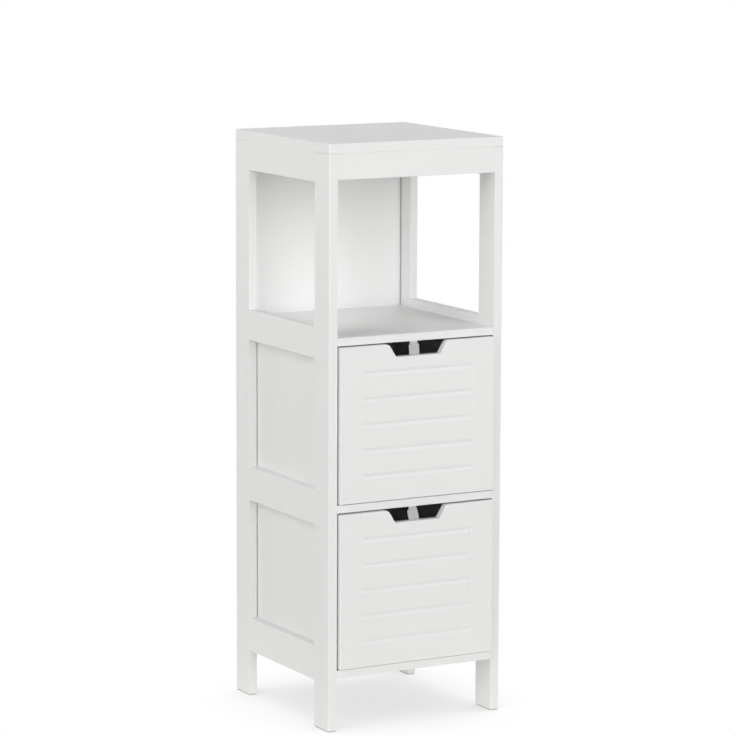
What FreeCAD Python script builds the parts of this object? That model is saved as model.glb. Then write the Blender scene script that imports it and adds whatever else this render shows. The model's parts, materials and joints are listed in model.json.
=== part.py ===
"""Slim bathroom cabinet: an open compartment above two slide-in drawers with proud fronts.

Lengths are millimetres and angles are degrees. +X is the cabinet's right seen from the
front, the front faces -Y, +Z is up, and the origin lies on the floor under the middle.
"""
import FreeCAD
import Part
import os

Vec = FreeCAD.Vector

# Whole cabinet
WIDTH = 300.0
DEPTH = 313.0
HEIGHT = 890.0
FRONT_PROUD = 7.0
BOTTOM_CLEARANCE = 82.0
DRAWER_OPENING_H = 241.0

# Frame of posts and rails, with the boards that it carries
FRAME_T = 15.0
BACK_POST_T = 13.5
POST_DEPTH = 45.0
TOP_RAIL_H = 45.0
SHELF_RAIL_H = 47.0
RAIL_H = 53.0
APRON_H = 39.0
APRON_SET_BACK = 0.8
POST_TOP_GAP = 0.25
SHELF_RAIL_DROP = 22.0
DIVIDER_RAIL_DROP = 22.0
BOTTOM_RAIL_DROP = 9.5
TOP_T = 15.0
BOARD_T = 12.0
BACK_T = 12.0
BACK_INSET = 4.0
BACK_SIDE_GAP = 1.5
CORNER_R = 1.5
EDGE_R = 0.5

# Thin side panels, nailed to the inside of the frame
PANEL_T = 3.0
PANEL_FRONT_LAP = 24.0
PANEL_REAR_GAP = 1.0
PANEL_END_GAP = 0.5

# Nail-on glides under the posts
GLIDE_H = 2.0
GLIDE_INSET = 0.25
GLIDE_CORNER_R = 2.0
GLIDE_EDGE_R = 0.5
GLIDE_NAIL_R = 1.0
GLIDE_NAIL_L = 15.0
GLIDE_NAIL_HEAD_R = 2.4
GLIDE_NAIL_HEAD_H = 0.8
GLIDE_NAIL_SINK = 0.5

# Drawer boxes
DRAWER_FRONT_T = 12.0
DRAWER_WALL_T = 12.0
FRONT_SIDE_GAP = 2.5
FRONT_TOP_GAP = 1.8
FRONT_BOTTOM_GAP = 2.2
FRONT_EDGE_R = 1.0
SLIDE_CLEARANCE = 0.2
DRAWER_SIDE_CLEARANCE = 3.5
DRAWER_REAR_GAP = 1.0
WALL_TOP_DROP = 5.0
DRAWER_BOTTOM_T = 3.0
DRAWER_BOTTOM_RISE = 6.0
GROOVE_DEPTH = 4.0
GROOVE_CLEARANCE = 0.1

# Hand notch in the top edge of a drawer front
NOTCH_MOUTH_W = 101.0
NOTCH_FLOOR_W = 77.0
NOTCH_DEPTH = 19.5
NOTCH_MOUTH_R = 8.0
NOTCH_FLOOR_R = 2.5

# Louvre pattern routed into a drawer front
LOUVRE_SIDE_MARGIN = 40.0
LOUVRE_TOP_MARGIN = 41.6
LOUVRE_BOTTOM_MARGIN = 39.3
LOUVRE_SLATS = 4
VEE_W = 9.0
VEE_DEPTH = 1.6
EDGE_VEE_W = 4.0
EDGE_VEE_DEPTH = 0.4

# Swivelling drawer stops behind the notches
STOP_FRONT_GAP = 1.1
PIVOT_DROP = 16.0
PIVOT_R = 2.0
PIVOT_HEAD_R = 3.4
PIVOT_HEAD_H = 1.0
PIVOT_TAIL_R = 3.0
PIVOT_TAIL_H = 1.2
TAB_W = 17.5
TAB_T = 2.5
TAB_RISE = 11.5
TAB_DROP = 27.0
TAB_CORNER_R = 4.0
TAB_EDGE_R = 0.8
TAB_PLAY = 0.3
UPPER_TAB_TILT = 3.6
LOWER_TAB_TILT = 13.8
BRACKET_T = 2.5
BRACKET_W = 13.0
BRACKET_FOOT_L = 23.0
BRACKET_SCREW_PITCH = 9.0
BRACKET_SCREW_INSET = 5.0
BRACKET_SCREW_R = 1.5
BRACKET_SCREW_L = 10.0
BRACKET_SCREW_HEAD_R = 2.8
BRACKET_SCREW_HEAD_H = 1.8

# Wooden dowels
DOWEL_R = 3.0
DOWEL_CHAMFER = 0.7
RAIL_DOWEL_L = 24.0
BOARD_DOWEL_L = 20.0
BOARD_DOWEL_Y = 50.0
APRON_DOWEL_L = 20.0
TOP_DOWEL_L = 25.0
TOP_DOWEL_SINK = 10.0
DRAWER_DOWEL_L = 24.0
DRAWER_DOWEL_SINK = 8.0

# Cam joints: a bolt screwed into one piece and a disc that grips it in the other
CAM_REACH = 24.0
CAM_THREAD_R = 2.5
CAM_THREAD_L = 9.0
CAM_NECK_R = 2.0
CAM_HEAD_R = 3.0
CAM_HEAD_L = 4.0
CAM_DISC_R = 6.0
CAM_DISC_WALL = 0.6
CAM_DISC_SINK = 0.2
CAM_SLOT_L = 7.0
CAM_SLOT_W = 1.2
CAM_SLOT_DEPTH = 1.4
BOARD_CAM_FRONT_INSET = 22.5
BOARD_CAM_REAR_INSET = 25.0
TOP_CAM_Y = 60.0
DRAWER_CAM_INSET = 40.0

# Countersunk screws and panel brads
SCREW_R = 1.75
SCREW_HEAD_R = 3.5
SCREW_HEAD_H = 2.2
SCREW_TIP_L = 3.0
BACK_SCREW_L = 30.0
BACK_SCREW_INSET = 55.0
BACK_SCREW_COLUMNS = (-1, 0, 1)
DRAWER_SCREW_L = 35.0
DRAWER_SCREW_INSET = 35.0
BRAD_R = 0.7
BRAD_L = 12.0
BRAD_HEAD_R = 1.4
BRAD_HEAD_H = 0.8
BRAD_TIP_L = 1.5
BRAD_Y = 60.0
RECESS_L = 3.6
RECESS_W = 0.8
RECESS_DEPTH = 1.1

# Fits and cuts
FIT_CLEARANCE = 0.05
HOLE_END_CLEARANCE = 0.3
OVERRUN = 1.0
ALIGNED_SHARE = 0.999

AXIS_X = Vec(1, 0, 0)
AXIS_Y = Vec(0, 1, 0)
AXIS_Z = Vec(0, 0, 1)
ORIGIN = Vec(0, 0, 0)
QUARTER_TURN = 90.0
FULL_TURN = 360.0
SIDES = {"left": -1, "right": 1}
ENDS = {"front": -1, "back": 1}

# Places that several pieces share
half_w = WIDTH / 2
inner_x = half_w - FRAME_T
rail_mid_x = half_w - FRAME_T / 2
face_y = -DEPTH / 2
front_y = face_y + FRONT_PROUD
front_back_y = face_y + DRAWER_FRONT_T
rear_y = DEPTH / 2
mid_y = (front_y + rear_y) / 2
rail_reach = rear_y - mid_y - POST_DEPTH
post_reach = rear_y - mid_y - POST_DEPTH / 2
board_rear_y = rear_y - BACK_INSET - BACK_T
top_z = HEIGHT - TOP_T
bottom_z = BOTTOM_CLEARANCE
lower_floor_z = bottom_z + BOARD_T
divider_z = lower_floor_z + DRAWER_OPENING_H
upper_floor_z = divider_z + BOARD_T
shelf_z = upper_floor_z + DRAWER_OPENING_H
panel_inner_x = inner_x - PANEL_T

# Thickness of the front and back posts
POST_T = {"front": FRAME_T, "back": BACK_POST_T}
# Lower face of each board, and lower edge and height of each pair of rails
BOARDS = {"shelf": shelf_z, "divider": divider_z, "bottom": bottom_z}
RAILS = {
    "top": (top_z - TOP_RAIL_H, TOP_RAIL_H),
    "shelf": (shelf_z - SHELF_RAIL_DROP, SHELF_RAIL_H),
    "divider": (divider_z - DIVIDER_RAIL_DROP, RAIL_H),
    "bottom": (bottom_z - BOTTOM_RAIL_DROP, RAIL_H),
}
# Floor level of each drawer, and the rails below and above its side panels
DRAWERS = {"upper": upper_floor_z, "lower": lower_floor_z}
PANEL_RAILS = {"upper": ("divider", "shelf"), "lower": ("bottom", "divider")}
CEILINGS = {"upper": "shelf", "lower": "divider"}
TAB_TILTS = {"upper": UPPER_TAB_TILT, "lower": LOWER_TAB_TILT}

pieces = {}
cuts = {}


def place(node, *solids):
    """Add solids to a node."""
    pieces.setdefault(node, []).extend(solids)


def cut(node, *tools):
    """Note shapes that are cut from a node's solids when it is written."""
    cuts.setdefault(node, []).extend(tools)


def block(x, y, z):
    """Box between two planes on each axis, given in either order."""
    low = Vec(min(x), min(y), min(z))
    return Part.makeBox(max(x) - min(x), max(y) - min(y), max(z) - min(z), low)


def edges_along(solid, axis):
    """Straight edges of a solid that run along an axis."""
    found = []
    for edge in solid.Edges:
        if isinstance(edge.Curve, Part.Line) and abs(edge.Curve.Direction.dot(axis)) > ALIGNED_SHARE:
            found.append(edge)
    return found


def eased(solid, radius, *axes):
    """Round every straight edge that runs along one of the axes."""
    return solid.makeFillet(radius, [edge for axis in axes for edge in edges_along(solid, axis)])


def turned(*profile):
    """Solid of revolution about +Z from (radius, height) corners."""
    points = [Vec(radius, 0, height) for radius, height in profile]
    return Part.Face(Part.makePolygon(points + points[:1])).revolve(ORIGIN, AXIS_Z, FULL_TURN)


def put(shape, point, axis):
    """Move a shape drawn along +Z at the origin to a point, and turn it along an axis."""
    shape.Placement = FreeCAD.Placement(point, FreeCAD.Rotation(AXIS_Z, axis))
    return shape


def cross_slots(face, length, width, depth):
    """Crossed driver slots, cut from a face height towards +Z."""
    corner = Vec(-length / 2, -width / 2, face - OVERRUN)
    first = Part.makeBox(length, width, depth + OVERRUN, corner)
    second = first.copy()
    second.rotate(ORIGIN, AXIS_Z, QUARTER_TURN)
    return first.fuse(second)


def fasten(node, point, axis, solid, hole, hosts):
    """Place one fastener, and cut its hole in each piece that holds it."""
    place(node, put(solid, point, axis))
    for host in hosts:
        cut(host, put(hole.copy(), point, axis))


def dowel_between(node, seam, axis, length, sink, hosts):
    """Chamfered dowel across a seam, with its sink beyond the seam along the axis."""
    end_r = DOWEL_R - DOWEL_CHAMFER
    solid = turned(
        (0, 0), (end_r, 0), (DOWEL_R, DOWEL_CHAMFER),
        (DOWEL_R, length - DOWEL_CHAMFER), (end_r, length), (0, length),
    )
    hole_start = Vec(0, 0, -HOLE_END_CLEARANCE)
    hole_end = length + HOLE_END_CLEARANCE
    hole = Part.makeCylinder(DOWEL_R + FIT_CLEARANCE, hole_end - hole_start.z, hole_start)
    fasten(node, seam - axis * (length - sink), axis, solid, hole, hosts)


def countersunk_screw(node, point, axis, length, hosts):
    """Flat-headed wood screw whose head is flush with the face at a point."""
    shank_end = length - SCREW_TIP_L
    solid = turned((0, 0), (SCREW_HEAD_R, 0), (SCREW_R, SCREW_HEAD_H), (SCREW_R, shank_end), (0, length))
    solid = solid.cut(cross_slots(0, RECESS_L, RECESS_W, RECESS_DEPTH))
    head_r = SCREW_HEAD_R + FIT_CLEARANCE
    hole_r = SCREW_R + FIT_CLEARANCE
    hole_end = length + HOLE_END_CLEARANCE
    hole = turned(
        (0, -OVERRUN), (head_r, -OVERRUN), (head_r, 0),
        (hole_r, SCREW_HEAD_H), (hole_r, hole_end), (0, hole_end),
    )
    fasten(node, point, axis, solid, hole, hosts)


def pan_screw(node, seat, axis, length, radius, head, hosts):
    """Round-headed screw whose head, given as radius and height, sits on a face at a point."""
    head_r, head_h = head
    rim_r = head_r - head_h / 2
    solid = turned(
        (0, -head_h), (rim_r, -head_h), (head_r, -head_h / 2), (head_r, 0),
        (radius, 0), (radius, length - radius), (radius / 2, length), (0, length),
    )
    solid = solid.cut(cross_slots(-head_h, RECESS_L, RECESS_W, RECESS_DEPTH))
    hole = Part.makeCylinder(radius + FIT_CLEARANCE, length + HOLE_END_CLEARANCE)
    fasten(node, seat, axis, solid, hole, hosts)


def pivot_rivet(node, face, grip, hosts):
    """Rivet along +Y, its flat head flush with the face at a point, closed behind its grip."""
    tail_end = grip + PIVOT_TAIL_H
    solid = turned(
        (0, 0), (PIVOT_HEAD_R, 0), (PIVOT_HEAD_R, PIVOT_HEAD_H), (PIVOT_R, PIVOT_HEAD_H),
        (PIVOT_R, grip), (PIVOT_TAIL_R, grip), (PIVOT_TAIL_R, tail_end), (0, tail_end),
    )
    head_r = PIVOT_HEAD_R + FIT_CLEARANCE
    hole_r = PIVOT_R + FIT_CLEARANCE
    seat = PIVOT_HEAD_H + TAB_PLAY
    hole = turned(
        (0, -OVERRUN), (head_r, -OVERRUN), (head_r, seat),
        (hole_r, seat), (hole_r, tail_end), (0, tail_end),
    )
    fasten(node, face, AXIS_Y, solid, hole, hosts)


def cam_joint(group, seam, axis, opening, thickness, anchor, board):
    """Cam bolt from an anchor piece into a board, and the disc in the board's open face."""
    head_start = CAM_REACH - CAM_HEAD_L / 2
    head_end = CAM_REACH + CAM_HEAD_L / 2
    bolt = turned(
        (0, -CAM_THREAD_L), (CAM_THREAD_R, -CAM_THREAD_L), (CAM_THREAD_R, 0), (CAM_NECK_R, 0),
        (CAM_NECK_R, head_start), (CAM_HEAD_R, head_start), (CAM_HEAD_R, head_end), (0, head_end),
    )
    thread_end = -CAM_THREAD_L - HOLE_END_CLEARANCE
    thread_r = CAM_THREAD_R + FIT_CLEARANCE
    head_r = CAM_HEAD_R + FIT_CLEARANCE
    way_end = head_end + HOLE_END_CLEARANCE
    way = turned(
        (0, thread_end), (thread_r, thread_end), (thread_r, 0),
        (head_r, 0), (head_r, way_end), (0, way_end),
    )
    fasten(group + "cam_bolts", seam, axis, bolt, way, (anchor, board))
    face = seam + axis * CAM_REACH + opening * (thickness / 2)
    depth = thickness / 2 + CAM_HEAD_R + CAM_DISC_WALL
    disc = Part.makeCylinder(CAM_DISC_R, depth - CAM_DISC_SINK, Vec(0, 0, CAM_DISC_SINK))
    disc = disc.cut(cross_slots(CAM_DISC_SINK, CAM_SLOT_L, CAM_SLOT_W, CAM_SLOT_DEPTH))
    disc = put(disc, face, opening * -1).cut(put(way.copy(), seam, axis))
    place(group + "cam_discs", disc)
    pocket_depth = depth + FIT_CLEARANCE + OVERRUN
    pocket = Part.makeCylinder(CAM_DISC_R + FIT_CLEARANCE, pocket_depth, Vec(0, 0, -OVERRUN))
    cut(board, put(pocket, face, opening * -1))


def build_posts():
    """Four posts, each with its glide and the glide's nail."""
    for side, sx in SIDES.items():
        for end, sy in ENDS.items():
            node = f"{side}_{end}_post"
            x = (sx * (half_w - POST_T[end]), sx * half_w)
            y = (mid_y + sy * rail_reach, mid_y + sy * (rail_reach + POST_DEPTH))
            post = block(x, y, (GLIDE_H, top_z - POST_TOP_GAP))
            corner = Vec(sx * half_w, y[1], post.CenterOfMass.z)
            upright = edges_along(post, AXIS_Z)
            upright.sort(key=lambda edge: edge.CenterOfMass.distanceToPoint(corner))
            post = post.makeFillet(EDGE_R, upright[1:])
            outer = min(edges_along(post, AXIS_Z), key=lambda e: e.CenterOfMass.distanceToPoint(corner))
            place(node, post.makeFillet(CORNER_R, [outer]))
            foot = Vec(sx * (half_w - POST_T[end] / 2), mid_y + sy * post_reach, 0)
            build_glide(node, foot, POST_T[end])


def build_glide(post, foot, post_t):
    """Flat glide under a post, with the nail that holds it."""
    half_x = post_t / 2 - GLIDE_INSET
    half_y = POST_DEPTH / 2 - GLIDE_INSET
    glide = block((-half_x, half_x), (-half_y, half_y), (0, GLIDE_H))
    glide = eased(glide, GLIDE_CORNER_R, AXIS_Z)
    underside = min(glide.Faces, key=lambda face: face.CenterOfMass.z)
    glide = glide.makeFillet(GLIDE_EDGE_R, underside.OuterWire.Edges)
    head_top = GLIDE_NAIL_SINK + GLIDE_NAIL_HEAD_H
    tip = GLIDE_H + GLIDE_NAIL_L
    nail = turned(
        (0, GLIDE_NAIL_SINK), (GLIDE_NAIL_HEAD_R, GLIDE_NAIL_SINK), (GLIDE_NAIL_HEAD_R, head_top),
        (GLIDE_NAIL_R, head_top), (GLIDE_NAIL_R, tip - GLIDE_NAIL_HEAD_R), (0, tip),
    )
    head_r = GLIDE_NAIL_HEAD_R + FIT_CLEARANCE
    hole_r = GLIDE_NAIL_R + FIT_CLEARANCE
    hole_end = tip + HOLE_END_CLEARANCE
    hole = turned(
        (0, -OVERRUN), (head_r, -OVERRUN), (head_r, head_top),
        (hole_r, head_top), (hole_r, hole_end), (0, hole_end),
    )
    place("foot_glides", put(glide, foot, AXIS_Z))
    fasten("glide_nails", foot, AXIS_Z, nail, hole, ("foot_glides", post))


def build_rails():
    """Four rails a side, each doweled into the front and back posts."""
    for side, sx in SIDES.items():
        for level, (low_z, height) in RAILS.items():
            node = f"{side}_{level}_rail"
            x = (sx * inner_x, sx * half_w)
            y = (mid_y - rail_reach, mid_y + rail_reach)
            rail = block(x, y, (low_z, low_z + height))
            place(node, rail.makeFillet(EDGE_R, rail.Edges))
            for end, sy in ENDS.items():
                hosts = (node, f"{side}_{end}_post")
                post_x = sx * (half_w - POST_T[end] / 2)
                for sz in ENDS.values():
                    seam = Vec(post_x, mid_y + sy * rail_reach, low_z + height / 2 + sz * height / 4)
                    dowel_between("frame_dowels", seam, AXIS_Y * sy, RAIL_DOWEL_L, RAIL_DOWEL_L / 2, hosts)


def build_apron():
    """Narrow front board under the top, doweled between the front posts."""
    node = "front_apron"
    low_z = top_z - APRON_H
    apron_y = front_y + APRON_SET_BACK
    apron = block((-inner_x, inner_x), (apron_y, apron_y + FRAME_T), (low_z, top_z))
    place(node, apron.makeFillet(EDGE_R, apron.Edges))
    for side, sx in SIDES.items():
        hosts = (node, f"{side}_front_post")
        for sz in ENDS.values():
            seam = Vec(sx * inner_x, apron_y + FRAME_T / 2, low_z + APRON_H / 2 + sz * APRON_H / 4)
            dowel_between("frame_dowels", seam, AXIS_X * sx, APRON_DOWEL_L, APRON_DOWEL_L / 2, hosts)


def build_top():
    """Top board, with dowels from the posts and cam joints from the top rails."""
    node = "top_board"
    top = block((-half_w, half_w), (front_y, rear_y), (top_z, HEIGHT))
    top = eased(top, CORNER_R, AXIS_Z)
    rims = [face.OuterWire for face in top.Faces if abs(face.normalAt(0, 0).z) > ALIGNED_SHARE]
    place(node, top.makeFillet(EDGE_R, [edge for rim in rims for edge in rim.Edges]))
    for side, sx in SIDES.items():
        for end, sy in ENDS.items():
            seam = Vec(sx * (half_w - POST_T[end] / 2), mid_y + sy * post_reach, top_z)
            hosts = (node, f"{side}_{end}_post")
            dowel_between("frame_dowels", seam, AXIS_Z, TOP_DOWEL_L, TOP_DOWEL_SINK, hosts)
            seam = Vec(sx * rail_mid_x, mid_y + sy * TOP_CAM_Y, top_z)
            cam_joint("", seam, AXIS_Z * -1, AXIS_X * -sx, FRAME_T, node, f"{side}_top_rail")


def build_boards():
    """Shelf, divider and bottom boards, joined to the front posts and the rails on both sides."""
    front_cam_y = front_y + BOARD_CAM_FRONT_INSET
    rear_cam_y = mid_y + rail_reach - BOARD_CAM_REAR_INSET
    for level, low_z in BOARDS.items():
        node = f"{level}_board"
        board = block((-inner_x, inner_x), (front_y, board_rear_y), (low_z, low_z + BOARD_T))
        place(node, board.makeFillet(EDGE_R, board.Edges))
        mid_z = low_z + BOARD_T / 2
        for side, sx in SIDES.items():
            inward = AXIS_X * -sx
            rail = f"{side}_{level}_rail"
            for y, anchor in ((front_cam_y, f"{side}_front_post"), (rear_cam_y, rail)):
                cam_joint("", Vec(sx * inner_x, y, mid_z), inward, AXIS_Z * -1, BOARD_T, anchor, node)
            for sy in ENDS.values():
                seam = Vec(sx * inner_x, mid_y + sy * BOARD_DOWEL_Y, mid_z)
                dowel_between("board_dowels", seam, inward, BOARD_DOWEL_L, BOARD_DOWEL_L / 2, (node, rail))


def build_back():
    """Back board between the back posts, screwed to the rear edges of the boards."""
    node = "back_board"
    x = half_w - BACK_POST_T - BACK_SIDE_GAP
    back_y = board_rear_y + BACK_T
    back = block((-x, x), (board_rear_y, back_y), (bottom_z, top_z))
    place(node, eased(back, EDGE_R, AXIS_Z))
    for level, low_z in BOARDS.items():
        for column in BACK_SCREW_COLUMNS:
            head = Vec(column * (inner_x - BACK_SCREW_INSET), back_y, low_z + BOARD_T / 2)
            hosts = (node, f"{level}_board")
            countersunk_screw("back_screws", head, AXIS_Y * -1, BACK_SCREW_L, hosts)


def build_side_panels():
    """Thin panels beside the drawers, held by brads into the rails above and below."""
    y = (mid_y - rail_reach - PANEL_FRONT_LAP, board_rear_y - PANEL_REAR_GAP)
    shank_end = BRAD_L - BRAD_TIP_L
    hole = Part.makeCylinder(BRAD_R + FIT_CLEARANCE, BRAD_L + HOLE_END_CLEARANCE)
    for drawer, floor_z in DRAWERS.items():
        low_z = floor_z + PANEL_END_GAP
        high_z = floor_z + DRAWER_OPENING_H - PANEL_END_GAP
        below, above = PANEL_RAILS[drawer]
        laps = {
            below: (low_z + RAILS[below][0] + RAILS[below][1]) / 2,
            above: (high_z + RAILS[above][0]) / 2,
        }
        for side, sx in SIDES.items():
            node = f"{side}_{drawer}_side_panel"
            place(node, block((sx * panel_inner_x, sx * inner_x), y, (low_z, high_z)))
            for level, z in laps.items():
                for sy in ENDS.values():
                    brad = turned(
                        (0, -BRAD_HEAD_H), (BRAD_HEAD_R, -BRAD_HEAD_H), (BRAD_HEAD_R, 0),
                        (BRAD_R, 0), (BRAD_R, shank_end), (0, BRAD_L),
                    )
                    seat = Vec(sx * panel_inner_x, mid_y + sy * BRAD_Y, z)
                    hosts = (node, f"{side}_{level}_rail")
                    fasten("panel_brads", seat, AXIS_X * sx, brad, hole, hosts)


def vee_groove(x, z, width, depth):
    """Vee groove in a drawer's face, with sloping ends, whose root runs between two places."""
    spread = width / 2 * (depth + OVERRUN) / depth
    return Part.makeWedge(
        x[0] - spread, face_y - OVERRUN, z[0] - spread, z[0], x[0],
        x[1] + spread, face_y + depth, z[1] + spread, z[1], x[1],
    )


def louvre_grooves(half_front, low_z, high_z):
    """Grooves of a drawer front: level lines between slats, and a finer line down each end."""
    half_x = half_front - LOUVRE_SIDE_MARGIN
    z0 = low_z + LOUVRE_BOTTOM_MARGIN
    z1 = high_z - LOUVRE_TOP_MARGIN
    grooves = []
    for line in range(LOUVRE_SLATS + 1):
        z = z0 + (z1 - z0) * line / LOUVRE_SLATS
        grooves.append(vee_groove((-half_x, half_x), (z, z), VEE_W, VEE_DEPTH))
    for sx in SIDES.values():
        x = sx * half_x
        grooves.append(vee_groove((x, x), (z0, z1), EDGE_VEE_W, EDGE_VEE_DEPTH))
    return grooves


def drawer_front(low_z, high_z):
    """Drawer front with its hand notch and eased front outline."""
    half_front = inner_x - FRONT_SIDE_GAP
    front = block((-half_front, half_front), (face_y, front_back_y), (low_z, high_z))
    mouth_x = NOTCH_MOUTH_W / 2
    floor_x = NOTCH_FLOOR_W / 2
    floor_z = high_z - NOTCH_DEPTH
    over_z = high_z + OVERRUN
    outline = [
        (-mouth_x, over_z), (-mouth_x, high_z), (-floor_x, floor_z),
        (floor_x, floor_z), (mouth_x, high_z), (mouth_x, over_z),
    ]
    corners = [Vec(x, face_y - OVERRUN, z) for x, z in outline]
    section = Part.Face(Part.makePolygon(corners + corners[:1]))
    front = front.cut(section.extrude(AXIS_Y * (DRAWER_FRONT_T + OVERRUN + OVERRUN)))
    core_y = (face_y + front_back_y) / 2
    for x, z, radius in ((mouth_x, high_z, NOTCH_MOUTH_R), (floor_x, floor_z, NOTCH_FLOOR_R)):
        for sx in SIDES.values():
            corner = Vec(sx * x, core_y, z)
            across = edges_along(front, AXIS_Y)
            edge = min(across, key=lambda e: e.CenterOfMass.distanceToPoint(corner))
            front = front.makeFillet(radius, [edge])
    face = min(front.Faces, key=lambda f: f.CenterOfMass.y)
    return front.makeFillet(FRONT_EDGE_R, face.OuterWire.Edges)


def build_drawer(drawer, floor_z):
    """One drawer: front, two sides, back and bottom, with the fasteners that join them."""
    group = f"{drawer}_drawer_"
    low_z = floor_z + FRONT_BOTTOM_GAP
    high_z = floor_z + DRAWER_OPENING_H - FRONT_TOP_GAP
    wall_low_z = floor_z + SLIDE_CLEARANCE
    wall_high_z = high_z - NOTCH_DEPTH - WALL_TOP_DROP
    wall_outer_x = panel_inner_x - DRAWER_SIDE_CLEARANCE
    wall_inner_x = wall_outer_x - DRAWER_WALL_T
    wall_mid_x = wall_outer_x - DRAWER_WALL_T / 2
    wall_rear_y = board_rear_y - DRAWER_REAR_GAP
    back_y = wall_rear_y - DRAWER_WALL_T
    wall_z = (wall_low_z, wall_high_z)

    front = group + "front"
    back = group + "back"
    place(front, drawer_front(low_z, high_z))
    cut(front, *louvre_grooves(inner_x - FRONT_SIDE_GAP, low_z, high_z))
    back_wall = block((-wall_inner_x, wall_inner_x), (back_y, wall_rear_y), wall_z)
    place(back, eased(back_wall, EDGE_R, AXIS_X))

    groove_x = wall_inner_x + GROOVE_DEPTH
    groove_y = (front_back_y - GROOVE_DEPTH, back_y + GROOVE_DEPTH)
    bottom_low_z = wall_low_z + DRAWER_BOTTOM_RISE
    bottom_high_z = bottom_low_z + DRAWER_BOTTOM_T
    groove_z = (bottom_low_z - GROOVE_CLEARANCE, bottom_high_z + GROOVE_CLEARANCE)
    groove = block((-groove_x, groove_x), groove_y, groove_z)
    bottom_x = groove_x - GROOVE_CLEARANCE
    bottom_y = (groove_y[0] + GROOVE_CLEARANCE, groove_y[1] - GROOVE_CLEARANCE)
    place(group + "bottom", block((-bottom_x, bottom_x), bottom_y, (bottom_low_z, bottom_high_z)))
    cut(front, groove)
    cut(back, groove)

    for side, sx in SIDES.items():
        wall = f"{group}{side}_side"
        solid = block((sx * wall_inner_x, sx * wall_outer_x), (front_back_y, wall_rear_y), wall_z)
        place(wall, eased(solid, EDGE_R, AXIS_Y))
        cut(wall, groove)
        for z in (wall_low_z + DRAWER_CAM_INSET, wall_high_z - DRAWER_CAM_INSET):
            seam = Vec(sx * wall_mid_x, front_back_y, z)
            cam_joint(group, seam, AXIS_Y, AXIS_X * -sx, DRAWER_WALL_T, front, wall)
        seam = Vec(sx * wall_mid_x, front_back_y, (wall_low_z + wall_high_z) / 2)
        dowel_between(group + "dowels", seam, AXIS_Y * -1, DRAWER_DOWEL_L, DRAWER_DOWEL_SINK, (front, wall))
        for z in (wall_low_z + DRAWER_SCREW_INSET, wall_high_z - DRAWER_SCREW_INSET):
            head = Vec(sx * wall_outer_x, back_y + DRAWER_WALL_T / 2, z)
            countersunk_screw(group + "screws", head, AXIS_X * -sx, DRAWER_SCREW_L, (wall, back))


def build_stop(drawer, tilt):
    """Swivelling stop: a bracket under the board above, a pivot rivet and a hanging tab."""
    board = f"{CEILINGS[drawer]}_board"
    under_z = BOARDS[CEILINGS[drawer]]
    pivot_z = under_z - PIVOT_DROP
    tab_y = front_back_y + STOP_FRONT_GAP
    lug_y = tab_y + TAB_T + TAB_PLAY
    foot_y = lug_y + BRACKET_FOOT_L
    half_bracket = BRACKET_W / 2

    bracket = f"{drawer}_stop_bracket"
    lug = block((-half_bracket, half_bracket), (lug_y, lug_y + BRACKET_T), (pivot_z, under_z))
    lug_end = Part.makeCylinder(half_bracket, BRACKET_T, Vec(0, lug_y, pivot_z), AXIS_Y)
    foot = block((-half_bracket, half_bracket), (lug_y, foot_y), (under_z - BRACKET_T, under_z))
    place(bracket, lug.fuse([lug_end, foot]).removeSplitter())

    tab_node = f"{drawer}_stop_tab"
    half_tab = TAB_W / 2
    tab_z = (pivot_z - TAB_DROP, pivot_z + TAB_RISE)
    tab = block((-half_tab, half_tab), (tab_y, tab_y + TAB_T), tab_z)
    tab = eased(tab, TAB_CORNER_R, AXIS_Y)
    faces = [face for face in tab.Faces if abs(face.normalAt(0, 0).y) > ALIGNED_SHARE]
    tab = tab.makeFillet(TAB_EDGE_R, [edge for face in faces for edge in face.OuterWire.Edges])
    tab.rotate(Vec(0, tab_y, pivot_z), AXIS_Y, -tilt)
    place(tab_node, tab)

    grip = lug_y + BRACKET_T - tab_y
    pivot_rivet("stop_pivot_rivets", Vec(0, tab_y, pivot_z), grip, (bracket, tab_node))
    screw_head = (BRACKET_SCREW_HEAD_R, BRACKET_SCREW_HEAD_H)
    for place_in_row in range(2):
        y = foot_y - BRACKET_SCREW_INSET - place_in_row * BRACKET_SCREW_PITCH
        seat = Vec(0, y, under_z - BRACKET_T)
        hosts = (bracket, board)
        pan_screw("stop_fixing_screws", seat, AXIS_Z, BRACKET_SCREW_L, BRACKET_SCREW_R, screw_head, hosts)


def write_nodes():
    """Cut each node's holes and write one file for it."""
    os.makedirs("parts", exist_ok=True)
    for node, solids in pieces.items():
        tools = cuts.get(node, [])
        shaped = [solid.cut(tools) if tools else solid for solid in solids]
        parts = [part for shape in shaped for part in shape.Solids]
        shape = parts[0] if len(parts) == 1 else Part.makeCompound(parts)
        shape.exportStep(f"parts/{node}.step")
        print(f"{node}: {len(parts)} solids, {shape.Volume:.0f} mm3, valid {shape.isValid()}")


build_posts()
build_rails()
build_apron()
build_top()
build_boards()
build_back()
build_side_panels()
for drawer_name, drawer_floor_z in DRAWERS.items():
    build_drawer(drawer_name, drawer_floor_z)
    build_stop(drawer_name, TAB_TILTS[drawer_name])
write_nodes()
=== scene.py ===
"""Finishes, studio light and camera for a slim white bathroom cabinet.

Every length is in metres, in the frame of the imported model: +X is the cabinet's right seen from
the front, the front faces -Y, +Z is up, and the origin is on the floor under the middle. Angles
are in degrees, and the camera's lens and sensor are in millimetres.
"""

import json
import logging
import math
from dataclasses import dataclass, replace
from enum import Enum
from typing import Any, Iterable

import bpy
from mathutils import Matrix, Vector


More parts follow.
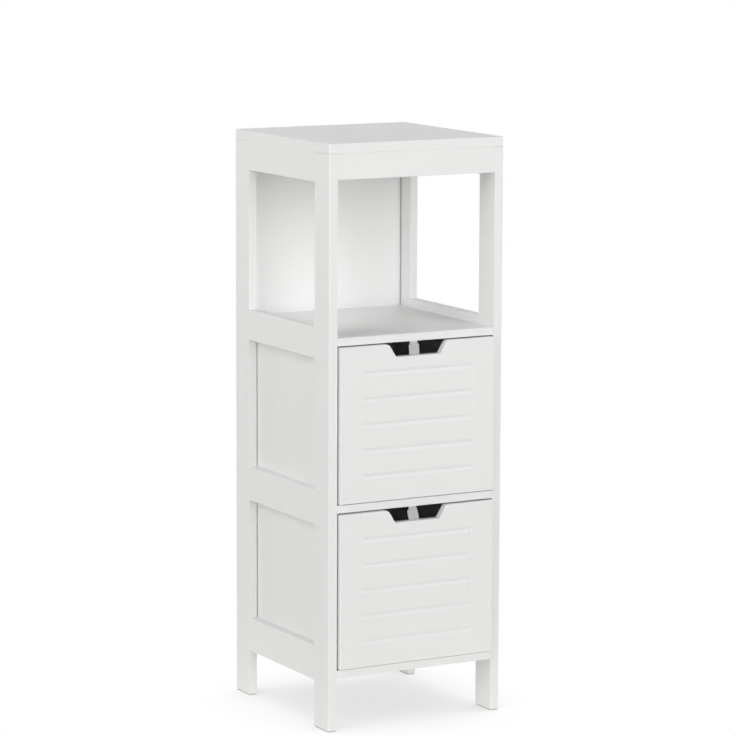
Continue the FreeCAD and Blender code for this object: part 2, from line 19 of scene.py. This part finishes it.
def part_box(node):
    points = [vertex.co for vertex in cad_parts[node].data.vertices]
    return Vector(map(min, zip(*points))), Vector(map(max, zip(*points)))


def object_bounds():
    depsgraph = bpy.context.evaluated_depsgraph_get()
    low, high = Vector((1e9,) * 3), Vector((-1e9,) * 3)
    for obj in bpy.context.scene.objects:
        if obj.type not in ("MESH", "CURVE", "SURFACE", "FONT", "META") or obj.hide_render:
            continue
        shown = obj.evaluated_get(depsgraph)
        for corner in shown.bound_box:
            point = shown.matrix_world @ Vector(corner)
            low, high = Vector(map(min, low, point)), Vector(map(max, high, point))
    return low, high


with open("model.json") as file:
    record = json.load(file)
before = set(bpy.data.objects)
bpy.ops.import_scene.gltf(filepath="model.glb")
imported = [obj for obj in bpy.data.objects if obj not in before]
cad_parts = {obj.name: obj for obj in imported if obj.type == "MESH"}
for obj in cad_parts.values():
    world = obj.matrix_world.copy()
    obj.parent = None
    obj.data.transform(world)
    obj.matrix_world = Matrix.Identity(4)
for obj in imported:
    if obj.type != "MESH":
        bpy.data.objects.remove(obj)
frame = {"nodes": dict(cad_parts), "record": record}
CAD_BOX: tuple[Vector, Vector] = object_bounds()

LOG = logging.getLogger("bathroom_cabinet")
MILLIMETRE = 0.001
NOISE_MIDDLE = 0.5

Colour = tuple[float, float, float]
Socket = bpy.types.NodeSocket
WHITE: Colour = (1.0, 1.0, 1.0)


class Slot(Enum):
    """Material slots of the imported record."""

    WHITE_LACQUER = "white_lacquer"
    DRAWER_BOX = "drawer_box"
    HARDBOARD = "hardboard"
    BEECH_DOWEL = "beech_dowel"
    ZINC_STEEL = "zinc_steel"
    CAM_ZINC = "cam_zinc"
    WHITE_PLASTIC = "white_plastic"
    GREY_PLASTIC = "grey_plastic"


class Level(Enum):
    """The two drawers, one above the other."""

    UPPER = "upper"
    LOWER = "lower"


class SocketKind(Enum):
    """Kinds of sockets on a shared shader effect."""

    VALUE = "NodeSocketFloat"
    COLOUR = "NodeSocketColor"


class MixSocket(Enum):
    """Numbers of the colour sockets on Blender's mix node, which share their names with others."""

    SHARE = 0
    FIRST = 6
    SECOND = 7
    RESULT = 2


def opaque(colour: Colour) -> tuple[float, float, float, float]:
    """Give a colour full alpha."""
    return (*colour, 1.0)


def direction(azimuth: float, elevation: float) -> Vector:
    """Unit vector from the cabinet to a place round it, where azimuth 0 is in front and 90 right."""
    turn, lift = math.radians(azimuth), math.radians(elevation)
    return Vector((math.sin(turn) * math.cos(lift), -math.cos(turn) * math.cos(lift), math.sin(lift)))


class Graph:
    """Adds and joins the nodes of one node tree."""

    def __init__(self, tree: bpy.types.NodeTree) -> None:
        """Keep the tree of the material, world or group that nodes are added to."""
        self.tree = tree

    def feed(self, node: bpy.types.Node, inputs: dict[str | int, Any]) -> None:
        """Fill or link inputs of a node.

        Args:
            node: The node.
            inputs: Socket name or number to a plain value or to an output socket.
        """
        for name, value in inputs.items():
            if isinstance(value, Socket):
                self.tree.links.new(value, node.inputs[name])
            else:
                node.inputs[name].default_value = value

    def add(
        self, kind: str, inputs: dict[str | int, Any] | None = None, **settings: Any
    ) -> bpy.types.Node:
        """Add a node, set its options and fill or link its inputs.

        Args:
            kind: Blender's name for the node type.
            inputs: Socket name or number to a plain value or to an output socket.
            **settings: Node options, such as operation or data_type.

        Returns:
            The new node.
        """
        node = self.tree.nodes.new(kind)
        for name, value in settings.items():
            setattr(node, name, value)
        self.feed(node, inputs or {})
        return node

    def effect(self, group: bpy.types.NodeTree, inputs: dict[str | int, Any]) -> Socket:
        """Place a shared effect with values for its named inputs, and give its one output."""
        return self.add("ShaderNodeGroup", inputs, node_tree=group).outputs[0]

    def place(self) -> Socket:
        """Socket of the shaded point in its object's own frame."""
        return self.add("ShaderNodeTexCoord").outputs["Object"]

    def stretch(self, place: Socket, scale: tuple[float, float, float]) -> Socket:
        """Scale a point along X, Y and Z, where a factor below 1 draws a pattern out."""
        return self.add("ShaderNodeMapping", {"Vector": place, "Scale": scale}).outputs[0]

    def math(self, operation: str, first: Any, second: Any) -> Socket:
        """Add a math node for two values or sockets, by Blender's name for the operation."""
        return self.add("ShaderNodeMath", {0: first, 1: second}, operation=operation).outputs[0]

    def blend(self, first: Socket, second: Socket, share: float) -> Socket:
        """Mix two patterns by the share of the second."""
        rest = self.math("MULTIPLY", first, 1.0 - share)
        return self.math("ADD", rest, self.math("MULTIPLY", second, share))

    def ramp(
        self, value: Socket, low: float, high: float, start: float = 0.0, end: float = 1.0
    ) -> Socket:
        """Map a value smoothly from one range to another.

        Args:
            value: Socket to map.
            low: Input where the result starts.
            high: Input where the result ends.
            start: Result at low.
            end: Result at high.

        Returns:
            The mapped value's socket.
        """
        node = self.add(
            "ShaderNodeMapRange",
            {"Value": value, "From Min": low, "From Max": high, "To Min": start, "To Max": end},
            interpolation_type="SMOOTHSTEP",
        )
        return node.outputs["Result"]

    def mix_colour(self, share: Any, first: Any, second: Any) -> Socket:
        """Mix two colours.

        Args:
            share: Share of the second colour.
            first: First colour or socket.
            second: Second colour or socket.

        Returns:
            The mixed colour's socket.
        """
        inputs = {
            MixSocket.SHARE.value: share, MixSocket.FIRST.value: first, MixSocket.SECOND.value: second
        }
        return self.add("ShaderNodeMix", inputs, data_type="RGBA").outputs[MixSocket.RESULT.value]

    def noise(self, place: Socket, scale: Any, detail: float, roughness: float = 0.5) -> Socket:
        """Add noise of so many blotches per metre, with so many octaves of finer noise."""
        inputs = {"Vector": place, "Scale": scale, "Detail": detail, "Roughness": roughness}
        return self.add("ShaderNodeTexNoise", inputs).outputs[0]

    def bump(self, height: Socket, relief: float) -> Socket:
        """Turn a height into a normal, where the relief is what a height of 1 measures."""
        return self.add("ShaderNodeBump", {"Height": height, "Distance": relief}).outputs["Normal"]


def start_group(
    name: str, inputs: Iterable[tuple[str, SocketKind, Any]], output: tuple[str, SocketKind]
) -> tuple[Graph, bpy.types.Node, bpy.types.Node]:
    """Start a node group with named sockets.

    Args:
        name: The group's name.
        inputs: Name, kind and default of each input.
        output: Name and kind of the output.

    Returns:
        The group's graph, its input node and its output node.
    """
    tree = bpy.data.node_groups.new(name, "ShaderNodeTree")
    for label, kind, default in inputs:
        socket = tree.interface.new_socket(label, in_out="INPUT", socket_type=kind.value)
        socket.default_value = default
    label, kind = output
    tree.interface.new_socket(label, in_out="OUTPUT", socket_type=kind.value)
    graph = Graph(tree)
    return graph, graph.add("NodeGroupInput"), graph.add("NodeGroupOutput")


@dataclass(frozen=True)
class SurfaceRipple:
    """Orange peel and fine grain of a sprayed, rolled or moulded surface."""

    peel_scale: float = 300.0
    peel_detail: float = 1.0
    grain_scale: float = 2500.0
    grain_detail: float = 0.0
    grain_share: float = 0.3

    def build(self) -> bpy.types.NodeTree:
        """Build the effect once for all finishes.

        Returns:
            Group with the inputs Peel Scale, Grain Scale and Grain Share, and the output Height.
        """
        graph, given, result = start_group(
            "surface_ripple",
            [
                ("Peel Scale", SocketKind.VALUE, self.peel_scale),
                ("Grain Scale", SocketKind.VALUE, self.grain_scale),
                ("Grain Share", SocketKind.VALUE, self.grain_share),
            ],
            ("Height", SocketKind.VALUE),
        )
        place = graph.place()
        peel = graph.noise(place, given.outputs["Peel Scale"], self.peel_detail)
        grain = graph.noise(place, given.outputs["Grain Scale"], self.grain_detail)
        fine = graph.math("MULTIPLY", grain, given.outputs["Grain Share"])
        graph.feed(result, {"Height": graph.math("ADD", peel, fine)})
        return graph.tree


@dataclass(frozen=True)
class HandlingMarks:
    """Uneven gloss from rubbing down, wiping and fingertips."""

    roughness: float = 0.35
    spread: float = 0.06
    cloud_scale: float = 9.0
    cloud_detail: float = 3.0
    streak_scale: float = 140.0
    streak_detail: float = 2.0
    streak_stretch: tuple[float, float, float] = (1.0, 1.0, 0.12)
    streak_share: float = 0.3

    def build(self) -> bpy.types.NodeTree:
        """Build the effect once for all finishes.

        Returns:
            Group with the inputs Roughness and Spread, and the output Roughness.
        """
        graph, given, result = start_group(
            "handling_marks",
            [
                ("Roughness", SocketKind.VALUE, self.roughness),
                ("Spread", SocketKind.VALUE, self.spread),
            ],
            ("Roughness", SocketKind.VALUE),
        )
        place = graph.place()
        clouds = graph.noise(place, self.cloud_scale, self.cloud_detail)
        wiped = graph.stretch(place, self.streak_stretch)
        streaks = graph.noise(wiped, self.streak_scale, self.streak_detail)
        marks = graph.blend(clouds, streaks, self.streak_share)
        centred = graph.math("SUBTRACT", marks, NOISE_MIDDLE)
        reach = graph.math("DIVIDE", given.outputs["Spread"], NOISE_MIDDLE)
        change = graph.math("MULTIPLY", centred, reach)
        graph.feed(result, {"Roughness": graph.math("ADD", given.outputs["Roughness"], change)})
        return graph.tree


@dataclass(frozen=True)
class CoatTone:
    """Slow drift of a coat's colour, with painted shade that darkens the nooks of a piece."""

    colour: Colour = (0.8, 0.8, 0.8)
    drift: float = 0.02
    # Painted shade: colour and share of the darkening in the nooks, where the piece shades itself.
    nook_shade_colour: Colour = (0.3, 0.28, 0.25)
    nook_shade: float = 0.1
    cloud_scale: float = 5.0
    cloud_detail: float = 4.0
    cloud_roughness: float = 0.6
    speck_scale: float = 700.0
    speck_detail: float = 1.0
    speck_share: float = 0.3
    nook_reach: float = 3.0 * MILLIMETRE
    nook_samples: int = 4
    nook_edge: tuple[float, float] = (0.75, 0.2)

    def build(self) -> bpy.types.NodeTree:
        """Build the effect once for all finishes.

        Returns:
            Group with the inputs Color, Drift, Nook Shade Color and Nook Shade, and the output Color.
        """
        graph, given, result = start_group(
            "coat_tone",
            [
                ("Color", SocketKind.COLOUR, opaque(self.colour)),
                ("Drift", SocketKind.VALUE, self.drift),
                ("Nook Shade Color", SocketKind.COLOUR, opaque(self.nook_shade_colour)),
                ("Nook Shade", SocketKind.VALUE, self.nook_shade),
            ],
            ("Color", SocketKind.COLOUR),
        )
        place = graph.place()
        clouds = graph.noise(place, self.cloud_scale, self.cloud_detail, self.cloud_roughness)
        specks = graph.noise(place, self.speck_scale, self.speck_detail)
        centred = graph.math("SUBTRACT", graph.blend(clouds, specks, self.speck_share), NOISE_MIDDLE)
        change = graph.math("MULTIPLY", centred, given.outputs["Drift"])
        bright = graph.math("ADD", change, 1.0)
        drifted = graph.add(
            "ShaderNodeVectorMath", {0: given.outputs["Color"], "Scale": bright}, operation="SCALE"
        ).outputs[0]
        # Painted shade: the piece's own occlusion darkens its nooks towards the shade colour.
        open_share = graph.add(
            "ShaderNodeAmbientOcclusion", {"Distance": self.nook_reach},
            samples=self.nook_samples, only_local=True,
        ).outputs["AO"]
        nook = graph.ramp(open_share, *self.nook_edge)
        shaded_nooks = graph.math("MULTIPLY", nook, given.outputs["Nook Shade"])
        graph.feed(result, {"Color": graph.mix_colour(shaded_nooks, drifted, given.outputs["Nook Shade Color"])})
        return graph.tree


class Effects:
    """Shader effects that several finishes share, each built once as a node group."""

    def __init__(self) -> None:
        """Build every effect."""
        self.ripple = SurfaceRipple().build()
        self.handling = HandlingMarks().build()
        self.tone = CoatTone().build()


@dataclass(frozen=True)
class Finish:
    """A surface finish that becomes one node material."""

    name: str

    def material(self, effects: Effects) -> bpy.types.Material:
        """Make the finish as a node material.

        Args:
            effects: Shared shader effects.

        Returns:
            The new material.
        """
        made = bpy.data.materials.new(self.name)
        made.use_nodes = True
        self.paint(Graph(made.node_tree), made.node_tree.nodes["Principled BSDF"], effects)
        return made

    def paint(self, graph: Graph, shader: bpy.types.Node, effects: Effects) -> None:
        """Set and link the inputs of the material's shader."""
        raise NotImplementedError


@dataclass(frozen=True)
class CoatFinish(Finish):
    """A painted, faced or moulded surface: colour, gloss and the relief of its skin."""

    colour: Colour
    roughness: float
    roughness_spread: float
    drift: float
    # Painted shade: share and colour of the darkening in the piece's nooks.
    nook_shade: float
    nook_shade_colour: Colour
    peel_scale: float
    grain_scale: float
    grain_share: float
    relief: float
    specular: float = 0.5

    def paint(self, graph: Graph, shader: bpy.types.Node, effects: Effects) -> None:
        """Set and link the shader's inputs.

        Args:
            graph: Node tree of the material.
            shader: The material's shader node.
            effects: Shared shader effects.
        """
        tone = graph.effect(effects.tone, {
            "Color": opaque(self.colour),
            "Drift": self.drift,
            "Nook Shade Color": opaque(self.nook_shade_colour),
            "Nook Shade": self.nook_shade,
        })
        gloss = graph.effect(
            effects.handling, {"Roughness": self.roughness, "Spread": self.roughness_spread}
        )
        skin = graph.effect(effects.ripple, {
            "Peel Scale": self.peel_scale,
            "Grain Scale": self.grain_scale,
            "Grain Share": self.grain_share,
        })
        graph.feed(shader, {
            "Base Color": tone,
            "Roughness": gloss,
            "Specular IOR Level": self.specular,
            "Normal": graph.bump(skin, self.relief),
        })


@dataclass(frozen=True)
class MetalFinish(Finish):
    """Plated or cast metal of the fasteners."""

    colour: Colour
    roughness: float
    roughness_spread: float
    drift: float
    peel_scale: float
    relief: float

    def paint(self, graph: Graph, shader: bpy.types.Node, effects: Effects) -> None:
        """Set and link the shader's inputs.

        Args:
            graph: Node tree of the material.
            shader: The material's shader node.
            effects: Shared shader effects.
        """
        tone = graph.effect(effects.tone, {"Color": opaque(self.colour), "Drift": self.drift})
        gloss = graph.effect(
            effects.handling, {"Roughness": self.roughness, "Spread": self.roughness_spread}
        )
        skin = graph.effect(effects.ripple, {"Peel Scale": self.peel_scale})
        graph.feed(shader, {
            "Base Color": tone,
            "Metallic": 1.0,
            "Roughness": gloss,
            "Normal": graph.bump(skin, self.relief),
        })


@dataclass(frozen=True)
class BeechFinish(Finish):
    """Bare beech of the dowels, with pores along the grain."""

    light: Colour
    dark: Colour
    roughness: float
    pore_scale: float = 1400.0
    pore_detail: float = 3.0
    pore_stretch: tuple[float, float, float] = (1.0, 0.1, 1.0)
    pore_edge: tuple[float, float] = (0.35, 0.7)
    relief: float = 0.05 * MILLIMETRE

    def paint(self, graph: Graph, shader: bpy.types.Node, effects: Effects) -> None:
        """Set and link the shader's inputs.

        Args:
            graph: Node tree of the material.
            shader: The material's shader node.
            effects: Shared shader effects.
        """
        along = graph.stretch(graph.place(), self.pore_stretch)
        pores = graph.noise(along, self.pore_scale, self.pore_detail)
        sound = graph.ramp(pores, *self.pore_edge)
        graph.feed(shader, {
            "Base Color": graph.mix_colour(sound, opaque(self.dark), opaque(self.light)),
            "Roughness": graph.effect(effects.handling, {"Roughness": self.roughness}),
            "Normal": graph.bump(pores, self.relief),
        })


# The nook shade values of each coat finish below are painted shade in its nooks.
MOULDED_WHITE = CoatFinish(
    name="moulded_white_plastic", colour=(0.78, 0.78, 0.765), roughness=0.38, roughness_spread=0.06,
    drift=0.02, nook_shade=0.15, nook_shade_colour=(0.30, 0.28, 0.26), peel_scale=1200.0, grain_scale=6000.0,
    grain_share=0.6, relief=0.02 * MILLIMETRE,
)
# Glide plastic: the darker colour is painted shade under the feet; the higher roughness and stronger
# drift are wear.
SHADED_WORN_WHITE = replace(
    MOULDED_WHITE, name="shaded_worn_white_plastic", colour=(0.50, 0.50, 0.49), roughness=0.55, drift=0.12
)
FINISHES: dict[Slot, Finish] = {
    Slot.WHITE_LACQUER: CoatFinish(
        name="satin_white_lacquer", colour=(0.86, 0.86, 0.857), roughness=0.44, roughness_spread=0.06,
        drift=0.02, nook_shade=0.10, nook_shade_colour=(0.34, 0.33, 0.31), peel_scale=260.0, grain_scale=2600.0,
        grain_share=0.2, relief=0.03 * MILLIMETRE, specular=0.4,
    ),
    Slot.HARDBOARD: CoatFinish(
        name="painted_hardboard", colour=(0.85, 0.85, 0.845), roughness=0.42, roughness_spread=0.07,
        drift=0.03, nook_shade=0.12, nook_shade_colour=(0.34, 0.33, 0.31), peel_scale=420.0, grain_scale=3200.0,
        grain_share=0.35, relief=0.035 * MILLIMETRE,
    ),
    Slot.DRAWER_BOX: CoatFinish(
        name="white_melamine", colour=(0.83, 0.83, 0.82), roughness=0.46, roughness_spread=0.05,
        drift=0.02, nook_shade=0.12, nook_shade_colour=(0.32, 0.30, 0.28), peel_scale=900.0, grain_scale=4200.0,
        grain_share=0.5, relief=0.03 * MILLIMETRE,
    ),
    Slot.WHITE_PLASTIC: MOULDED_WHITE,
    Slot.GREY_PLASTIC: CoatFinish(
        name="moulded_grey_plastic", colour=(0.52, 0.535, 0.55), roughness=0.26, roughness_spread=0.08,
        drift=0.05, nook_shade=0.10, nook_shade_colour=(0.28, 0.28, 0.28), peel_scale=1100.0, grain_scale=5200.0,
        grain_share=0.5, relief=0.02 * MILLIMETRE,
    ),
    Slot.ZINC_STEEL: MetalFinish(
        name="bright_zinc_plate", colour=(0.62, 0.62, 0.61), roughness=0.30, roughness_spread=0.12,
        drift=0.10, peel_scale=2500.0, relief=0.01 * MILLIMETRE,
    ),
    Slot.CAM_ZINC: MetalFinish(
        name="die_cast_zinc", colour=(0.50, 0.50, 0.49), roughness=0.45, roughness_spread=0.12,
        drift=0.15, peel_scale=1800.0, relief=0.03 * MILLIMETRE,
    ),
    Slot.BEECH_DOWEL: BeechFinish(
        name="bare_beech", light=(0.62, 0.44, 0.27), dark=(0.45, 0.29, 0.16), roughness=0.6,
    ),
}
# The glides take the darker plastic, painted shade under the feet.
SHADED_WORN_NODES: dict[str, Finish] = {"foot_glides": SHADED_WORN_WHITE}


class Paintshop:
    """Makes each finish once and gives it to the nodes of a sub-assembly."""

    def __init__(self) -> None:
        """Build the shared effects, the materials and the table of node to slot."""
        effects = Effects()
        self.materials = {slot: finish.material(effects) for slot, finish in FINISHES.items()}
        self.shaded_worn = {node: finish.material(effects) for node, finish in SHADED_WORN_NODES.items()}
        self.slots = {row["node"]: Slot(row["material_slot"]) for row in frame["record"]["subparts"]}

    def dress(self, node: str) -> None:
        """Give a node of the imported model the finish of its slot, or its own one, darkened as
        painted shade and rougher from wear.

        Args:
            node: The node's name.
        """
        piece = frame["nodes"][node]
        finish = self.shaded_worn.get(node, self.materials[self.slots[node]])
        piece.data.materials.clear()
        piece.data.materials.append(finish)
        LOG.info("%s: %s", node, finish.name)


class SubAssembly:
    """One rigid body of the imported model, whose nodes are dressed together."""

    @property
    def body(self) -> str:
        """Name of the body."""
        raise NotImplementedError

    def dress(self, shop: Paintshop) -> None:
        """Give every node of the body its finish from the shop."""
        for node in frame["record"]["behaviour"]["bodies"][self.body]:
            shop.dress(node)


@dataclass(frozen=True)
class Carcass(SubAssembly):
    """Posts, rails, boards, panels and the fasteners that hold them."""

    @property
    def body(self) -> str:
        """Name of the body."""
        return "carcass"


@dataclass(frozen=True)
class Drawer(SubAssembly):
    """One drawer: its notched front, its box and the fasteners in it."""

    level: Level

    @property
    def body(self) -> str:
        """Name of the body."""
        return f"{self.level.value}_drawer"


@dataclass(frozen=True)
class DrawerStop(SubAssembly):
    """The swivelling tab that hangs behind a drawer's notch."""

    level: Level

    @property
    def body(self) -> str:
        """Name of the body."""
        return f"{self.level.value}_stop"


@dataclass(frozen=True)
class FarLamp:
    """One wide lamp, far enough away to light the cabinet evenly from top to bottom."""

    name: str
    azimuth: float
    elevation: float
    strength: float
    colour: Colour = WHITE
    spread: float = 40.0

    def build(self) -> None:
        """Place the lamp so that it shines on the cabinet from its side."""
        lamp = bpy.data.lights.new(self.name, "SUN")
        lamp.energy = self.strength
        lamp.angle = math.radians(self.spread)
        lamp.color = self.colour
        holder = bpy.data.objects.new(self.name, lamp)
        way = direction(self.azimuth, self.elevation)
        holder.rotation_euler = way.to_track_quat("Z", "Y").to_euler()
        bpy.context.scene.collection.objects.link(holder)
        LOG.info("%s: lamp", self.name)


@dataclass(frozen=True)
class Studio:
    """Pale floor, soft lamps and the camera of the photograph.

    The floor throws back floor_bounce of the light and glows a little by itself, by near_glow more
    under the cabinet. near_reach is where that patch fades out. shadow_reach, shadow_edge and
    shadow_shade are how far, how sharp and how dark the contact shadow is. dome_fade is the height
    on the dome, as a sine, where its light begins and ends to fade. view_right and view_up are how
    far the view is moved from the cabinet's middle.
    """

    floor_radius: float = 10.0
    floor_sides: int = 96
    floor_bounce: float = 0.45
    floor_glow: float = 0.13
    near_glow: float = 0.18
    near_reach: tuple[float, float] = (0.22, 0.42)
    floor_colour: Colour = (1.0, 1.0, 0.90)
    shadow_reach: float = 0.22
    shadow_edge: tuple[float, float] = (0.12, 0.86)
    shadow_shade: float = 0.76
    shadow_samples: int = 24
    dome: float = 1.30
    dome_fade: tuple[float, float] = (0.0, 0.45)
    dome_colour: Colour = (1.0, 1.0, 0.975)
    lamps: tuple[FarLamp, ...] = (
        FarLamp("left_lamp", azimuth=-71.0, elevation=42.0, strength=0.97),
        FarLamp("low_left_lamp", azimuth=-65.0, elevation=8.0, strength=0.53),
        FarLamp("front_lamp", azimuth=2.0, elevation=14.0, strength=1.17, colour=(0.99, 0.985, 1.0)),
        FarLamp("right_lamp", azimuth=95.0, elevation=8.0, strength=1.50),
        FarLamp("rear_lamp", azimuth=180.0, elevation=13.0, strength=1.18),
    )
    view_azimuth: float = -28.961
    view_elevation: float = 8.692
    view_roll: float = 0.214
    view_distance: float = 5.2949
    view_right: float = 0.00159
    view_up: float = 0.07973
    view_end: float = 100.0
    lens: float = 167.14
    sensor: float = 36.0

    def build(self) -> None:
        """Build the floor, the light and the camera."""
        low, high = CAD_BOX
        middle = (low + high) / 2
        middle.y = sum(corner[1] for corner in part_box("top_board")) / 2
        self._floor()
        self._world()
        for lamp in self.lamps:
            lamp.build()
        self._camera(middle)
        bpy.context.scene.view_settings.view_transform = "Standard"

    @staticmethod
    def _seen(graph: Graph) -> Socket:
        """Share of light paths that show the background: to the camera, or by a mirror or glass.

        Args:
            graph: Node tree to add to.

        Returns:
            Socket that is 1 on such a path.
        """
        path = graph.add("ShaderNodeLightPath").outputs
        shiny = graph.math("MAXIMUM", path["Is Glossy Ray"], path["Is Transmission Ray"])
        return graph.math("MAXIMUM", path["Is Camera Ray"], shiny)

    def _floor(self) -> None:
        """Round white floor that keeps the cabinet's soft contact shadow and lights its feet."""
        bpy.ops.mesh.primitive_circle_add(
            vertices=self.floor_sides, radius=self.floor_radius, fill_type="NGON"
        )
        floor = bpy.context.object
        floor.name = "studio_floor"
        made = bpy.data.materials.new("pale_floor")
        made.use_nodes = True
        graph = Graph(made.node_tree)
        graph.tree.nodes.clear()
        open_share = graph.add(
            "ShaderNodeAmbientOcclusion", {"Distance": self.shadow_reach}, samples=self.shadow_samples
        ).outputs["AO"]
        level = graph.ramp(open_share, *self.shadow_edge, self.shadow_shade, 1.0)
        shown = graph.add("ShaderNodeEmission", {"Strength": level}).outputs[0]
        pale = (self.floor_bounce, self.floor_bounce, self.floor_bounce)
        matt = graph.add("ShaderNodeBsdfDiffuse", {"Color": opaque(pale)}).outputs[0]
        away = graph.add(
            "ShaderNodeVectorMath", {0: graph.place()}, operation="LENGTH"
        ).outputs["Value"]
        near = graph.ramp(away, *self.near_reach, self.floor_glow + self.near_glow, self.floor_glow)
        glow = graph.add(
            "ShaderNodeEmission", {"Color": opaque(self.floor_colour), "Strength": near}
        ).outputs[0]
        bounce = graph.add("ShaderNodeAddShader", {0: matt, 1: glow}).outputs[0]
        both = graph.add("ShaderNodeMixShader", {0: self._seen(graph), 1: bounce, 2: shown}).outputs[0]
        graph.add("ShaderNodeOutputMaterial", {"Surface": both})
        floor.data.materials.append(made)
        LOG.info("studio_floor: stage")

    def _world(self) -> None:
        """White background, and for the light a dome that is bright low down and dark overhead."""
        world = bpy.data.worlds.new("studio_dome")
        world.use_nodes = True
        bpy.context.scene.world = world
        graph = Graph(world.node_tree)
        graph.tree.nodes.clear()
        way = graph.add("ShaderNodeTexCoord").outputs["Generated"]
        height = graph.add("ShaderNodeSeparateXYZ", {0: way}).outputs["Z"]
        strength = graph.ramp(height, *self.dome_fade, self.dome, 0.0)
        dome = graph.add(
            "ShaderNodeBackground", {"Color": opaque(self.dome_colour), "Strength": strength}
        ).outputs[0]
        white = graph.add("ShaderNodeBackground", {"Color": opaque(WHITE), "Strength": 1.0}).outputs[0]
        both = graph.add("ShaderNodeMixShader", {0: self._seen(graph), 1: dome, 2: white}).outputs[0]
        graph.add("ShaderNodeOutputWorld", {"Surface": both})

    def _camera(self, middle: Vector) -> None:
        """Camera at the photograph's view.

        Args:
            middle: Middle of the cabinet.
        """
        back = direction(self.view_azimuth, self.view_elevation)
        level = Vector((0.0, 0.0, 1.0)).cross(back).normalized()
        rise = back.cross(level)
        roll = math.radians(self.view_roll)
        right = level * math.cos(roll) + rise * math.sin(roll)
        up = rise * math.cos(roll) - level * math.sin(roll)
        eye = middle + right * self.view_right + up * self.view_up + back * self.view_distance
        data = bpy.data.cameras.new("photo_camera")
        data.lens = self.lens
        data.sensor_width = self.sensor
        data.clip_end = self.view_end
        camera = bpy.data.objects.new("photo_camera", data)
        turn = Matrix((right, up, back)).transposed().to_4x4()
        camera.matrix_world = Matrix.Translation(eye) @ turn
        bpy.context.scene.collection.objects.link(camera)
        bpy.context.scene.camera = camera
        LOG.info("photo_camera: camera")


def main() -> None:
    """Dress the cabinet, then build the studio round it."""
    logging.basicConfig(level=logging.INFO, format="%(name)s: %(message)s")
    shop = Paintshop()
    Carcass().dress(shop)
    for level in Level:
        Drawer(level).dress(shop)
        DrawerStop(level).dress(shop)
    Studio().build()


if __name__ == "__main__":
    main()
